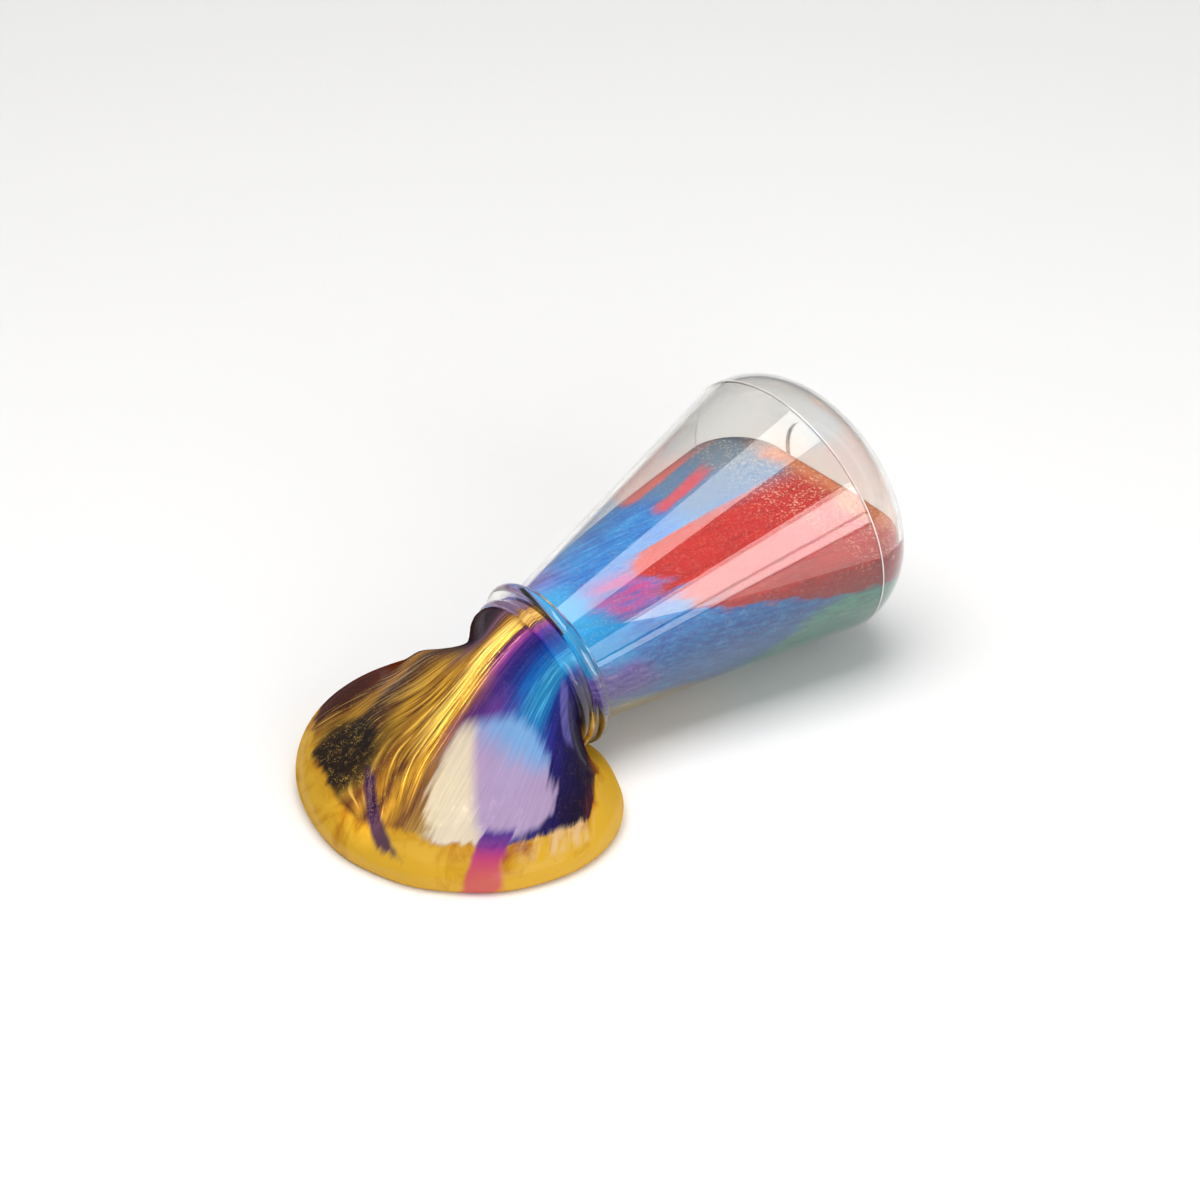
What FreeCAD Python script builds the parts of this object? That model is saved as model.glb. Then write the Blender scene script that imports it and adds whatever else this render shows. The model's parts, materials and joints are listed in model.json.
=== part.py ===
"""Toy slime jar: a clear cone-shaped jar on its side, with slime poured out of its mouth.

Frame (mm): the origin is the point on the table right under the centre of the mouth, +X runs
along the table from the mouth towards the jar's base, +Z is up. Distances along the jar's own
axis, from the mouth plane to the foot, are called "along" in the names below.
"""
import FreeCAD, Part
import math
import os

import Sketcher
from FreeCAD import Placement, Rotation, Vector

os.makedirs("parts", exist_ok=True)
doc = FreeCAD.newDocument("slime_jar")

# ---------------------------------------------------------------- driving dimensions
DIMENSIONS = [
    ("wall", "1.3", "wall of both clear mouldings"),
    ("throat_radius", "17.1", "bore of the neck"),
    ("neck_radius", "18.6", "outside of the neck between its two rings"),
    ("neck_length", "7.5", "mouth plane to the start of the cone"),
    ("lip_radius", "20.1", "outer radius of the ring at the mouth"),
    ("lip_width", "2.8", "lip ring, along the axis"),
    ("lip_round", "1.35", "rounding of the lip ring's rim"),
    ("collar_radius", "22.0", "outer radius of the ring behind the lip"),
    ("collar_along", "6.1", "mouth plane to the middle of the collar ring"),
    ("collar_width", "3.2", "collar ring, along the axis"),
    ("collar_round", "1.55", "rounding of the collar ring's rim"),
    ("cone_start_radius", "18.3", "outer radius of the cone at the neck"),
    ("seam_radius", "35.0", "outer radius where the cone meets the base cup"),
    ("seam_along", "84.0", "mouth plane to that seam"),
    ("jar_length", "100.0", "mouth plane to the foot"),
    ("heel_round", "15.9", "rounding of the base cup outside"),
    ("heel_round_inside", "14.4", "rounding of the base cup inside"),
    ("slime_gap", "0.12", "gap left between slime and plastic"),
    ("slime_level", "36.5", "height of the slime's surface inside the jar"),
    ("puddle_middle_x", "-26.2", "middle of the puddle"),
    ("puddle_middle_y", "-3.4", "middle of the puddle, across"),
    ("puddle_half_length", "35.0", "puddle, half its size along X"),
    ("puddle_half_width", "43.4", "puddle, half its size along Y"),
    ("puddle_end_radius", "31.5", "puddle, radius of its outline at its two ends"),
    ("puddle_height", "11.5", "puddle, without the stream on it"),
    ("puddle_top_round", "8.0", "rounding of the puddle's upper edge"),
    ("puddle_foot_round", "1.6", "rounding where the puddle meets the table"),
]

# The stream from the mouth to the puddle, as round-topped sections across it:
# place along X, half width at the table, height.
STREAM_SECTIONS = [
    (3.4, 7.0, 37.6),
    (-8.0, 14.0, 36.4),
    (-20.0, 24.0, 28.6),
    (-32.0, 29.0, 20.4),
    (-44.0, 28.0, 13.8),
    (-54.0, 18.0, 8.4),
]

# How the colours lie in the jar, seen from the side (X, Z). They were filled one on another
# with the jar upright, and sheared into long tongues when it was tipped over.
RED_OUTLINE = [(33, 45), (40, 35), (80, 29.3), (104, 27), (104, 45)]
GREEN_OUTLINE = [(58, -5), (58, 10), (80, 29.3), (104, 27), (104, -5)]
PURPLE_OUTLINE = [(-8, 29), (6.6, 26.8), (26, 18.6), (30, 15.6), (6.6, 20), (-8, 22)]
BLUE_OUTLINE = [
    (-8, 45), (33, 45), (40, 35), (80, 29.3), (58, 10), (58, -5), (52, -5), (45, 12),
    (30, 15.6), (26, 18.6), (6.6, 26.8), (-8, 29),
]

# The two streams that lie in the gold spill, seen from above (X, Y).
BLUE_STREAM_OUTLINE = [(14, 8), (-10, 4), (-38, -6), (-38, -20), (-20, -20), (14, -12)]
PURPLE_STREAM_OUTLINE = [(14, -12), (-20, -20), (-25, -29), (-14, -37), (4, -28), (14, -22)]

sizes = doc.addObject("Spreadsheet::Sheet", "sizes")
for row, (alias, number, meaning) in enumerate(DIMENSIONS, start=1):
    sizes.set(f"A{row}", meaning)
    sizes.set(f"B{row}", number)
    sizes.setAlias(f"B{row}", alias)
for number, (place, half_width, height) in enumerate(STREAM_SECTIONS, start=1):
    row = len(DIMENSIONS) + number
    for column, alias, value in (("B", "place", place), ("C", "half_width", half_width),
                                 ("D", "height", height)):
        sizes.set(f"{column}{row}", str(value))
        sizes.setAlias(f"{column}{row}", f"stream_{alias}_{number}")
doc.recompute()


def size(alias):
    return float(sizes.get(alias))


def lying_placement():
    """Where the jar lies: its collar ring and its seam edge both touch the table."""
    rim_centre_radius = size("collar_radius") - size("collar_round")
    rim_centre_along = size("collar_along") - (size("collar_width") / 2 - size("collar_round"))
    run = size("seam_along") - rim_centre_along
    rise = size("seam_radius") - rim_centre_radius
    tilt = math.atan2(rise, run) - math.asin(size("collar_round") / math.hypot(run, rise))
    mouth_height = size("seam_radius") * math.cos(tilt) - size("seam_along") * math.sin(tilt)
    print(f"jar tilt {math.degrees(tilt):.3f} deg, mouth centre {mouth_height:.3f} mm up")
    return Placement(Vector(0, 0, mouth_height),
                     Rotation(Vector(0, 1, 0), 90 - math.degrees(tilt)))


LYING = lying_placement()


# ---------------------------------------------------------------- helpers
SAME = 0.01  # two lengths this near each other are the same one
HALF_DEPTH = 60.0  # a colour's region reaches this far to both sides, past all the slime


def origin_plane(body, role):
    return next(item for item in body.Origin.OriginFeatures if item.Role == role)


def corner_value(expression):
    """The number that a corner's expression has now, to place the corner before it is bound."""
    return float(sizes.evalExpression(expression.replace("$", "")))


def outline_sketch(body, name, corners):
    """A closed outline in the body's own XZ plane, every corner bound to the sheet."""
    sketch = body.newObject("Sketcher::SketchObject", name)
    sketch.AttachmentSupport = (origin_plane(body, "XZ_Plane"), [""])
    sketch.MapMode = "FlatFace"
    points = [Vector(corner_value(across), corner_value(along), 0) for across, along in corners]
    count = len(points)
    for index in range(count):
        sketch.addGeometry(Part.LineSegment(points[index], points[(index + 1) % count]), False)
    for index in range(count):
        following = (index + 1) % count
        sketch.addConstraint(Sketcher.Constraint("Coincident", index, 2, following, 1))
    for index, (across, along) in enumerate(corners):
        for kind, expression, axis in (("DistanceX", across, -2), ("DistanceY", along, -1)):
            if expression == "0":
                sketch.addConstraint(Sketcher.Constraint("PointOnObject", index, 1, axis))
                continue
            bound = sketch.addConstraint(
                Sketcher.Constraint(kind, -1, 1, index, 1, corner_value(expression)))
            sketch.setExpression(f"Constraints[{bound}]", expression.replace("$", "sizes."))
    return sketch


def turned_body(name, corners):
    """A body turned about its own Z axis from an outline of (radius, along) corners."""
    body = doc.addObject("PartDesign::Body", name)
    outline = outline_sketch(body, f"{name}_outline", corners)
    turn = body.newObject("PartDesign::Revolution", f"{name}_turn")
    turn.Profile = outline
    turn.ReferenceAxis = (outline, ["V_Axis"])
    turn.Angle = 360
    doc.recompute()
    body.Placement = LYING
    return body


def round_circles(body, name, radius_alias, circles):
    """Fillet the circular edges of a turned body that lie at the given (radius, along)."""
    base = body.Tip
    chosen = []
    for index, edge in enumerate(base.Shape.Edges, start=1):
        curve = edge.Curve
        if not isinstance(curve, Part.Circle):
            continue
        for radius, along in circles:
            if abs(curve.Radius - radius) < SAME and abs(curve.Center.z - along) < SAME:
                chosen.append(f"Edge{index}")
    fillet = body.newObject("PartDesign::Fillet", name)
    fillet.Base = (base, chosen)
    fillet.setExpression("Radius", f"sizes.{radius_alias}")
    doc.recompute()
    return fillet


def prism(name, outline, normal):
    """A region of space: an outline in the XZ or XY plane, extruded to both sides of it."""
    sketch = doc.addObject("Sketcher::SketchObject", f"{name}_outline")
    if normal == "Y":
        sketch.Placement = Placement(Vector(), Rotation(Vector(1, 0, 0), 90))
    points = [Vector(first, second, 0) for first, second in outline]
    for start, end in zip(points, points[1:] + points[:1]):
        sketch.addGeometry(Part.LineSegment(start, end), False)
    count = len(points)
    for index in range(count):
        sketch.addConstraint(Sketcher.Constraint("Coincident", index, 2, (index + 1) % count, 1))
        sketch.addConstraint(Sketcher.Constraint("Block", index))
    region = doc.addObject("Part::Extrusion", name)
    region.Base = sketch
    region.DirMode = "Normal"
    region.LengthFwd = 2 * HALF_DEPTH
    region.Symmetric = True
    region.Solid = True
    return region


def boolean(kind, name, first, second):
    result = doc.addObject(f"Part::{kind}", name)
    result.Base = first
    result.Tool = second
    doc.recompute()
    return result


# ---------------------------------------------------------------- clear jar: cone with neck
def make_jar_cone():
    """Cone and neck in one moulding, open at both ends, with two rings round the neck."""
    front = "$collar_along - $collar_width / 2"
    back = "$collar_along + $collar_width / 2"
    body = turned_body("jar_cone", [
        ("$throat_radius", "0"),
        ("$lip_radius", "0"),
        ("$lip_radius", "$lip_width"),
        ("$neck_radius", "$lip_width"),
        ("$neck_radius", front),
        ("$collar_radius", front),
        ("$collar_radius", back),
        ("$cone_start_radius", back),
        ("$seam_radius", "$seam_along"),
        ("$seam_radius - $wall", "$seam_along"),
        ("$throat_radius", "$neck_length"),
    ])
    middle = size("collar_along")
    half = size("collar_width") / 2
    round_circles(body, "collar_rim", "collar_round",
                  [(size("collar_radius"), middle - half), (size("collar_radius"), middle + half)])
    round_circles(body, "lip_rim", "lip_round",
                  [(size("lip_radius"), 0), (size("lip_radius"), size("lip_width"))])
    return body


# ---------------------------------------------------------------- clear jar: base cup
def make_base_cup():
    """Round-heeled cup that closes the wide end, welded on at the seam, flat underfoot."""
    inside = "$seam_radius - $wall"
    floor = "$jar_length - $wall"
    body = turned_body("base_cup", [
        ("$seam_radius", "$seam_along"),
        ("$seam_radius", "$jar_length"),
        ("0", "$jar_length"),
        ("0", floor),
        (inside, floor),
        (inside, "$seam_along"),
    ])
    outer = size("seam_radius")
    round_circles(body, "heel", "heel_round", [(outer, size("jar_length"))])
    round_circles(body, "heel_inside", "heel_round_inside",
                  [(outer - size("wall"), size("jar_length") - size("wall"))])
    return body


# ---------------------------------------------------------------- slime: what is in the jar
def make_filling():
    """All the slime in the jar: the jar's inside up to the slime's level."""
    inside = "$seam_radius - $wall - $slime_gap"
    floor = "$jar_length - $wall - $slime_gap"
    body = turned_body("jar_inside", [
        ("0", "0"),
        ("$throat_radius - $slime_gap", "0"),
        ("$throat_radius - $slime_gap", "$neck_length"),
        (inside, "$seam_along"),
        (inside, floor),
        ("0", floor),
    ])
    round_circles(body, "inside_heel", "heel_round_inside",
                  [(size("seam_radius") - size("wall") - size("slime_gap"),
                    size("jar_length") - size("wall") - size("slime_gap"))])
    air = doc.addObject("Part::Box", "air")
    air.setExpression("Length", "2 * sizes.jar_length")
    air.setExpression("Width", "4 * sizes.seam_radius")
    air.setExpression("Height", "2 * sizes.seam_radius")
    air.setExpression("Placement.Base.x", "-sizes.jar_length / 2")
    air.setExpression("Placement.Base.y", "-2 * sizes.seam_radius")
    air.setExpression("Placement.Base.z", "sizes.slime_level")
    return boolean("Cut", "filling", body, air)


# ---------------------------------------------------------------- slime: what ran out
def make_puddle():
    """The low round-edged puddle on the table: an oval of four arcs, tighter at its two ends."""
    body = doc.addObject("PartDesign::Body", "puddle")
    sketch = body.newObject("Sketcher::SketchObject", "puddle_outline")
    sketch.AttachmentSupport = (origin_plane(body, "XY_Plane"), [""])
    sketch.MapMode = "FlatFace"
    sketch.setExpression("AttachmentOffset.Base.x", "sizes.puddle_middle_x")
    sketch.setExpression("AttachmentOffset.Base.y", "sizes.puddle_middle_y")
    half_length, half_width = size("puddle_half_length"), size("puddle_half_width")
    end_radius = size("puddle_end_radius")
    end_centre = half_width - end_radius
    side_radius = (end_centre ** 2 + half_length ** 2 - end_radius ** 2) / (
        2 * (half_length - end_radius))
    side_centre = side_radius - half_length
    join = math.atan2(end_centre, side_centre)
    arcs = [
        (Vector(-side_centre, 0, 0), side_radius, -join, join),
        (Vector(0, end_centre, 0), end_radius, join, math.pi - join),
        (Vector(side_centre, 0, 0), side_radius, math.pi - join, math.pi + join),
        (Vector(0, -end_centre, 0), end_radius, math.pi + join, 2 * math.pi - join),
    ]
    for centre, radius, start, end in arcs:
        circle = Part.Circle(centre, Vector(0, 0, 1), radius)
        sketch.addGeometry(Part.ArcOfCircle(circle, start, end), False)
    for index in range(4):
        sketch.addConstraint(Sketcher.Constraint("Tangent", index, 2, (index + 1) % 4, 1))
    for index in (1, 3):
        sketch.addConstraint(Sketcher.Constraint("PointOnObject", index, 3, -2))
    reach, end, offset = ("sizes.puddle_half_length", "sizes.puddle_end_radius",
                          "(sizes.puddle_half_width - sizes.puddle_end_radius)")
    side = (f"({offset} * {offset} + {reach} * {reach} - {end} * {end})"
            f" / (2 * ({reach} - {end}))")
    bound = (
        (Sketcher.Constraint("Radius", 1, end_radius), end),
        (Sketcher.Constraint("Radius", 3, end_radius), end),
        (Sketcher.Constraint("DistanceY", -1, 1, 1, 3, end_centre), offset),
        (Sketcher.Constraint("DistanceY", 3, 3, -1, 1, end_centre), offset),
        (Sketcher.Constraint("Radius", 0, side_radius), side),
        (Sketcher.Constraint("Radius", 2, side_radius), side),
    )
    for constraint, expression in bound:
        index = sketch.addConstraint(constraint)
        sketch.setExpression(f"Constraints[{index}]", expression)
    pad = body.newObject("PartDesign::Pad", "puddle_pad")
    pad.Profile = sketch
    pad.setExpression("Length", "sizes.puddle_height")
    doc.recompute()
    for name, alias, height in (("puddle_shoulder", "puddle_top_round", size("puddle_height")),
                                ("puddle_foot", "puddle_foot_round", 0)):
        base = body.Tip
        edges = [f"Edge{index}" for index, edge in enumerate(base.Shape.Edges, start=1)
                 if abs(edge.BoundBox.ZMin - height) < SAME and edge.BoundBox.ZLength < SAME]
        fillet = body.newObject("PartDesign::Fillet", name)
        fillet.Base = (base, edges)
        fillet.setExpression("Radius", f"sizes.{alias}")
        doc.recompute()
    return body


def stream_section(body, number):
    """One section across the stream: an arc that stands on a line on the table."""
    half_width = size(f"stream_half_width_{number}")
    height = size(f"stream_height_{number}")
    sketch = body.newObject("Sketcher::SketchObject", f"stream_section_{number}")
    sketch.AttachmentSupport = (origin_plane(body, "YZ_Plane"), [""])
    sketch.MapMode = "FlatFace"
    sketch.setExpression("AttachmentOffset.Base.z", f"sizes.stream_place_{number}")
    left, top, right = Vector(-half_width, 0, 0), Vector(0, height, 0), Vector(half_width, 0, 0)
    sketch.addGeometry(Part.Arc(right, top, left), False)
    sketch.addGeometry(Part.LineSegment(left, right), False)
    for first_end, second_end in ((1, 2), (2, 1)):
        sketch.addConstraint(Sketcher.Constraint("Coincident", 0, first_end, 1, second_end))
    sketch.addConstraint(Sketcher.Constraint("PointOnObject", 0, 1, -1))
    sketch.addConstraint(Sketcher.Constraint("PointOnObject", 0, 3, -2))
    sketch.addConstraint(Sketcher.Constraint("Horizontal", 1))
    width = sketch.addConstraint(Sketcher.Constraint("DistanceX", 1, 1, 1, 2, 2 * half_width))
    sketch.setExpression(f"Constraints[{width}]", f"2 * sizes.stream_half_width_{number}")
    radius = sketch.addConstraint(
        Sketcher.Constraint("Radius", 0, (half_width ** 2 + height ** 2) / (2 * height)))
    half_name, height_name = f"sizes.stream_half_width_{number}", f"sizes.stream_height_{number}"
    sketch.setExpression(
        f"Constraints[{radius}]",
        f"({half_name} * {half_name} + {height_name} * {height_name}) / (2 * {height_name})")
    return sketch


def make_stream():
    """The thick stream that falls from the mouth and flattens into the puddle."""
    body = doc.addObject("PartDesign::Body", "stream")
    sections = [stream_section(body, number) for number in range(1, len(STREAM_SECTIONS) + 1)]
    doc.recompute()
    loft = body.newObject("PartDesign::AdditiveLoft", "stream_loft")
    loft.Profile = sections[0]
    loft.Sections = sections[1:]
    loft.Ruled = True
    doc.recompute()
    return body


def make_jar_envelope():
    """The room that the jar takes up, solid, with the slime's gap round it."""
    lip = doc.addObject("Part::Cylinder", "lip_room")
    lip.setExpression("Radius", "sizes.lip_radius + sizes.slime_gap")
    lip.setExpression("Height", "sizes.collar_along")
    collar = doc.addObject("Part::Cylinder", "collar_room")
    collar.setExpression("Radius", "sizes.collar_radius + sizes.slime_gap")
    collar.setExpression("Height", "sizes.collar_width + 2 * sizes.slime_gap")
    cone = doc.addObject("Part::Cone", "cone_room")
    cone.setExpression("Radius1", "sizes.cone_start_radius + sizes.slime_gap")
    cone.setExpression("Radius2", "sizes.seam_radius + sizes.slime_gap")
    cone.setExpression("Height", "sizes.seam_along - sizes.neck_length")
    starts = ((lip, 0), (collar, size("collar_along") - size("collar_width") / 2
                         - size("slime_gap")), (cone, size("neck_length")))
    for room, start in starts:
        room.Placement = LYING.multiply(Placement(Vector(0, 0, start), Rotation()))
    envelope = doc.addObject("Part::MultiFuse", "jar_room")
    envelope.Shapes = [lip, collar, cone]
    doc.recompute()
    return envelope


def make_spill():
    """All the slime outside the jar, cut where the jar lies in it."""
    heap = boolean("Fuse", "heap", make_puddle(), make_stream())
    return boolean("Cut", "spill", heap, make_jar_envelope())


# ---------------------------------------------------------------- slime: one piece a colour
def make_slimes(filling, spill):
    """Split the slime into its colours. Blue, purple and gold run out through the mouth."""
    inside = {
        "green": prism("green_room", GREEN_OUTLINE, "Y"),
        "red": prism("red_room", RED_OUTLINE, "Y"),
        "blue": prism("blue_room", BLUE_OUTLINE, "Y"),
        "purple": prism("purple_room", PURPLE_OUTLINE, "Y"),
    }
    outside = {
        "blue": prism("blue_stream_room", BLUE_STREAM_OUTLINE, "Z"),
        "purple": prism("purple_stream_room", PURPLE_STREAM_OUTLINE, "Z"),
    }
    doc.recompute()
    pieces = []
    left_inside, left_outside = filling, spill
    for colour, room in inside.items():
        part = boolean("Common", f"{colour}_in_jar", filling, room)
        left_inside = boolean("Cut", f"filling_without_{colour}", left_inside, room)
        if colour in outside:
            stream = boolean("Common", f"{colour}_in_spill", spill, outside[colour])
            left_outside = boolean("Cut", f"spill_without_{colour}", left_outside,
                                   outside[colour])
            part = boolean("Fuse", f"{colour}_whole", part, stream)
        part.Label = f"slime_{colour}"
        pieces.append(part)
    gold = boolean("Fuse", "gold_whole", left_inside, left_outside)
    gold.Label = "slime_gold"
    return pieces + [gold]


# ---------------------------------------------------------------- build, check and write
jar_cone = make_jar_cone()
base_cup = make_base_cup()
slimes = make_slimes(make_filling(), make_spill())
doc.recompute()

failed = [item.Name for item in doc.Objects if {"Invalid", "Error"} & set(item.State)]
if failed:
    raise RuntimeError(f"failed objects: {failed}")
for piece in [jar_cone, base_cup, *slimes]:
    shape = piece.Shape
    if shape.isNull() or not shape.isValid() or not shape.Solids:
        raise RuntimeError(f"{piece.Label} has no valid solid")
    box = shape.BoundBox
    print(f"{piece.Label}: {len(shape.Solids)} solid, {shape.Volume / 1000:.2f} cm3, "
          f"x {box.XMin:.2f}..{box.XMax:.2f} y {box.YMin:.2f}..{box.YMax:.2f} "
          f"z {box.ZMin:.2f}..{box.ZMax:.2f}")
    shape.exportStep(f"parts/{piece.Label}.step")
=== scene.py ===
# %% [markdown]
# # A toy slime jar, tipped over
#
# The real thing is a clear plastic jar in the shape of a cone, lying on its side, and metallic
# slime that has run out of its mouth into a puddle. FreeCAD made the exact jar and plain solids
# for the slime. Here the jar gets its clear plastic, and the slime gets its soft shape and its
# marbled colours. Everything is in metres, in the same frame as the CAD model.

import json
import math

import bmesh
import bpy
from mathutils import Matrix, Vector


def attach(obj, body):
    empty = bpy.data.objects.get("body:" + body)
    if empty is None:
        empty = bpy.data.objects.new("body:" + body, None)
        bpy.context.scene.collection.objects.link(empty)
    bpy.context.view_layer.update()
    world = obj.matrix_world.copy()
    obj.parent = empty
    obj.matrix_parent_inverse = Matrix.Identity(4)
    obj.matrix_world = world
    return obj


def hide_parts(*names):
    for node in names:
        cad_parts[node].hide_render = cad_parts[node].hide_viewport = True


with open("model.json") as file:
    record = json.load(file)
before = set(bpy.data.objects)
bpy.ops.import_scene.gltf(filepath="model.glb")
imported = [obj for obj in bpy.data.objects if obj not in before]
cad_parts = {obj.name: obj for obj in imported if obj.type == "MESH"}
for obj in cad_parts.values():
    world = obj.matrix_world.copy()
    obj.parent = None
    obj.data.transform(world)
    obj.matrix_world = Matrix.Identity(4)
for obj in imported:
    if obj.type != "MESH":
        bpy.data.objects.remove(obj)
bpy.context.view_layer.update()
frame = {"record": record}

MM = 0.001

# %% [markdown]
# The jar leans a little: its narrow collar and its wide seam both touch the table. The record
# says where the jar's foot is and which way it faces, so the whole jar can be placed from that:
# a matrix takes the jar's own Z axis, from the mouth to the foot, to its place on the table.

# %% Where the jar lies
JAR_LENGTH = 100 * MM
foot = next(mount for mount in frame["record"]["mounts"] if mount["name"] == "jar_foot")
AXIS = Vector(foot["axis"]).normalized()
MOUTH = Vector(foot["pos_m"]) - AXIS * JAR_LENGTH
LYING = Matrix.Translation(MOUTH) @ Vector((0, 0, 1)).rotation_difference(AXIS).to_matrix().to_4x4()
UPWARD = (Vector((0, 0, 1)) - AXIS * AXIS.z).normalized()
SIDEWAYS = Vector((0, 1, 0))
print("mouth centre", [round(value, 4) for value in MOUTH])


# %% [markdown]
# ## Camera, table and lights
#
# The camera stands about a metre away with a long lens and looks down on the table. The jar is
# clear and the slime is wet, so most of what is seen on them is the reflection of the lights.
# That calls for few, large, soft sources: one overhead, and low ones at the front.

# %% Camera
CAMERA_DISTANCE = 1.0
CAMERA_TURN = math.radians(-39.14)
CAMERA_HEIGHT = math.radians(36.31)
FOCAL_LENGTH = 124.2
LOOK_RIGHT = 17.7 * MM
LOOK_UP = 35.2 * MM

back = Vector((math.sin(CAMERA_TURN) * math.cos(CAMERA_HEIGHT),
               -math.cos(CAMERA_TURN) * math.cos(CAMERA_HEIGHT), math.sin(CAMERA_HEIGHT)))
right = Vector((0, 0, 1)).cross(back).normalized()
up = back.cross(right)
camera = bpy.data.objects.new("camera", bpy.data.cameras.new("camera"))
camera.data.lens = FOCAL_LENGTH
camera.location = back * CAMERA_DISTANCE
look = right * LOOK_RIGHT + up * LOOK_UP - camera.location
camera.rotation_euler = look.to_track_quat("-Z", "Y").to_euler()
bpy.context.scene.collection.objects.link(camera)
bpy.context.scene.camera = camera

# %% [markdown]
# The table is one large pale sheet. It is a stage object, so it isn't part of the model.

# %% Table
TABLE_SIZE = 6.0


def matte(name, colour, roughness):
    """A plain material for the stage."""
    material = bpy.data.materials.new(name)
    material.use_nodes = True
    shader = material.node_tree.nodes["Principled BSDF"]
    shader.inputs["Base Color"].default_value = (*colour, 1)
    shader.inputs["Roughness"].default_value = roughness
    return material


def object_from(name, mesh_builder, place=None):
    """Make a finished object at the origin from a bmesh, and close the bmesh."""
    if place is not None:
        bmesh.ops.transform(mesh_builder, matrix=place, verts=mesh_builder.verts)
    mesh = bpy.data.meshes.new(name)
    mesh_builder.to_mesh(mesh)
    mesh_builder.free()
    made = bpy.data.objects.new(name, mesh)
    bpy.context.scene.collection.objects.link(made)
    return made


sheet = bmesh.new()
bmesh.ops.create_grid(sheet, x_segments=1, y_segments=1, size=TABLE_SIZE / 2)
table = object_from("table", sheet, Matrix.Translation((0, 0, -0.02 * MM)))
table.data.materials.append(matte("pale_table", (0.93, 0.93, 0.93), 0.9))


# %% [markdown]
# Each lamp is an area light that faces the jar. Its brightness as the eye sees it is its power
# over its area, so the lamps are described by size and brightness, and the power is worked out.
# Glossy things look best in a soft light, with bright cards held where they reflect. So there
# are two kinds here: wide lights that the reflections leave out, and cards for the reflections.
# A card adds nothing to the matte part of a bare surface, but it does light what lies behind
# clear plastic. The camera sees neither kind.

# %% Lights
def lamp(name, place, aim, size, brightness, colour):
    """One area light with the given brightness, as wide and high as size says."""
    light = bpy.data.lights.new(name, "AREA")
    light.shape = "RECTANGLE"
    light.size, light.size_y = size
    light.energy = brightness * size[0] * size[1] * math.pi
    light.color = colour
    made = bpy.data.objects.new(name, light)
    made.location = place
    made.rotation_euler = (Vector(aim) - Vector(place)).to_track_quat("-Z", "Y").to_euler()
    made.visible_camera = False
    bpy.context.scene.collection.objects.link(made)
    return made


def soft_light(name, place, aim, size, brightness, colour):
    """A wide light for the matte surfaces, left out of the reflections."""
    lamp(name, place, aim, size, brightness, colour).visible_glossy = False


def card(name, place, aim, size, brightness, colour):
    """A bright card for the reflections, left out of the direct matte light."""
    lamp(name, place, aim, size, brightness, colour).visible_diffuse = False


WARM_WHITE, COOL_WHITE = (1.0, 0.985, 0.97), (0.96, 0.97, 1.0)
OVERHEAD, FRONT, LOW_FRONT = (-0.10, 0.02, 1.0), (-0.16, -1.1, 0.46), (-0.16, -1.1, 0.11)
OVERHEAD_SIZE = (0.60, 1.0)
soft_light("overhead_light", OVERHEAD, (0, 0, 0), OVERHEAD_SIZE, 3.4, WARM_WHITE)
soft_light("front_light", FRONT, (0.04, 0, 0.05), (1.1, 0.6), 3.2, COOL_WHITE)
card("overhead_card", OVERHEAD, (0, 0, 0), OVERHEAD_SIZE, 40.0, WARM_WHITE)
card("front_card", FRONT, (0.02, 0, 0.18), (1.1, 0.44), 1.7, COOL_WHITE)
card("low_card", LOW_FRONT, (0.02, 0, 0.03), (1.1, 0.14), 3.0, COOL_WHITE)

WORLD_BRIGHTNESS = 0.36
world = bpy.data.worlds.new("studio")
world.use_nodes = True
surroundings = world.node_tree.nodes["Background"]
surroundings.inputs["Color"].default_value = (1, 1, 1, 1)
surroundings.inputs["Strength"].default_value = WORLD_BRIGHTNESS
bpy.context.scene.world = world
bpy.context.scene.view_settings.view_transform = "Standard"


# %% [markdown]
# ## The clear jar
#
# Round things are spun. The outline of a wall is a ring of a few corners, each a radius and a
# distance along the jar. The corners are rounded first, with a bevel of their vertices, and then
# the outline is spun about the jar's axis. The wall is a closed body with a real thickness,
# because clear plastic shows both its surfaces and bends what is behind it at its thick rings.

# %% Spinning an outline
SPIN_STEPS = 256


def outline_wire(corners, closed):
    """A wire of (radius, along, rounding) corners in millimetres, rounded by vertex bevels."""
    wire = bmesh.new()
    made = [wire.verts.new((radius * MM, 0, along * MM)) for radius, along, _ in corners]
    pairs = zip(made, made[1:] + made[:1]) if closed else zip(made, made[1:])
    for start, end in pairs:
        wire.edges.new((start, end))
    for corner, (_, _, rounding) in zip(made, corners):
        if rounding:
            bmesh.ops.bevel(wire, geom=[corner], offset=rounding * MM, offset_type="OFFSET",
                            segments=6 if rounding < 5 else 28, profile=0.5, affect="VERTICES",
                            material=-1)
    return wire


SHARP_ANGLE = math.radians(35)
SUPPORT = 0.08 * MM


def spun(wire, steps=SPIN_STEPS):
    """Spin a wire into a closed skin about Z, with its faces pointing outwards."""
    for edge in [edge for edge in wire.edges if edge.calc_length() > 1.5 * MM]:
        for end in list(edge.verts):
            bmesh.utils.edge_split(edge, end, SUPPORT / edge.calc_length())
        cuts = int(edge.calc_length() / (6 * MM))
        if cuts:
            bmesh.ops.subdivide_edges(wire, edges=[edge], cuts=cuts)
    bmesh.ops.spin(wire, geom=wire.verts[:] + wire.edges[:], cent=(0, 0, 0), axis=(0, 0, 1),
                   angle=2 * math.pi, steps=steps, use_merge=True)
    bmesh.ops.remove_doubles(wire, verts=wire.verts, dist=0.001 * MM)
    bmesh.ops.recalc_face_normals(wire, faces=wire.faces)
    for face in wire.faces:
        face.smooth = True
    for edge in wire.edges:
        edge.smooth = edge.calc_face_angle(0) < SHARP_ANGLE
    return wire


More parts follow.
